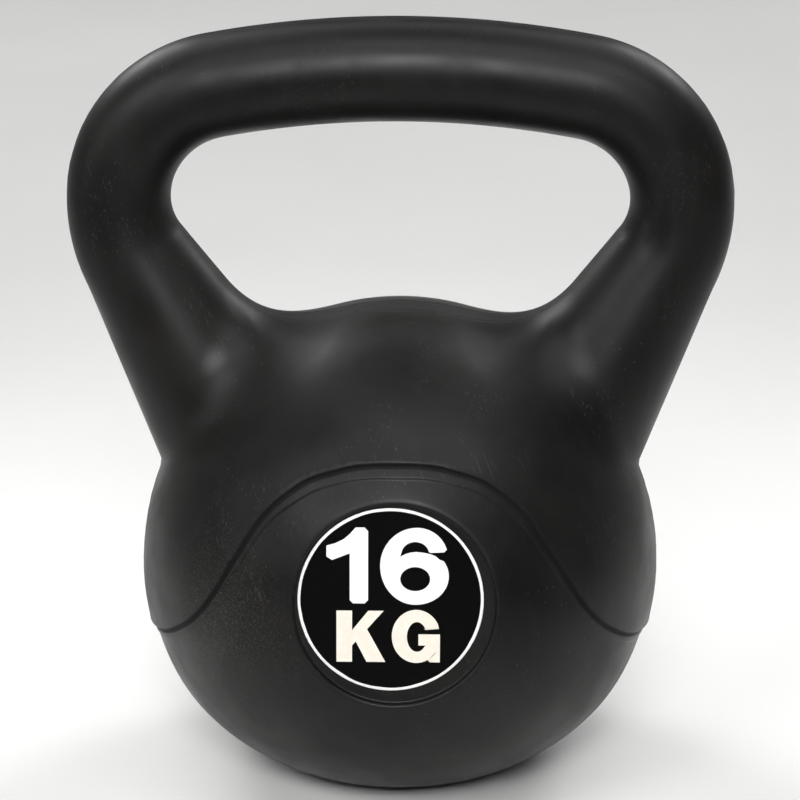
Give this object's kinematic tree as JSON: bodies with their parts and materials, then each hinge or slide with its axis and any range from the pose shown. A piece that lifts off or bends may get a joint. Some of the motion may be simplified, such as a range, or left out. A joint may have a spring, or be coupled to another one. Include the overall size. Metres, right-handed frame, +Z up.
{
  "type": "kettlebell",
  "caption": "Round free weight with a wide loop handle, a flat base and a recessed round weight label.",
  "frame": {"origin": "middle of the base, on the floor the weight stands on", "axes": "+Z up, +X along the handle's grip to the viewer's right, the front label faces -Y"},
  "size_m": [0.282, 0.216, 0.3281],
  "materials": {
    "shell_plastic": "satin moulded polyethylene",
    "cement": "rough cast cement",
    "bar_steel": "hot-rolled bar",
    "label_vinyl": "semi-gloss printed vinyl",
    "plug_plastic": "satin moulded polyethylene",
    "sealant": "cured sealant"
  },
  "bodies": {
    "root": {"shell": "shell_plastic", "cement_fill": "cement", "reinforcing_bar": "bar_steel", "front_label": "label_vinyl", "back_label": "label_vinyl", "filler_plug": "plug_plastic", "plug_seal": "sealant"}
  },
  "joints": []
}
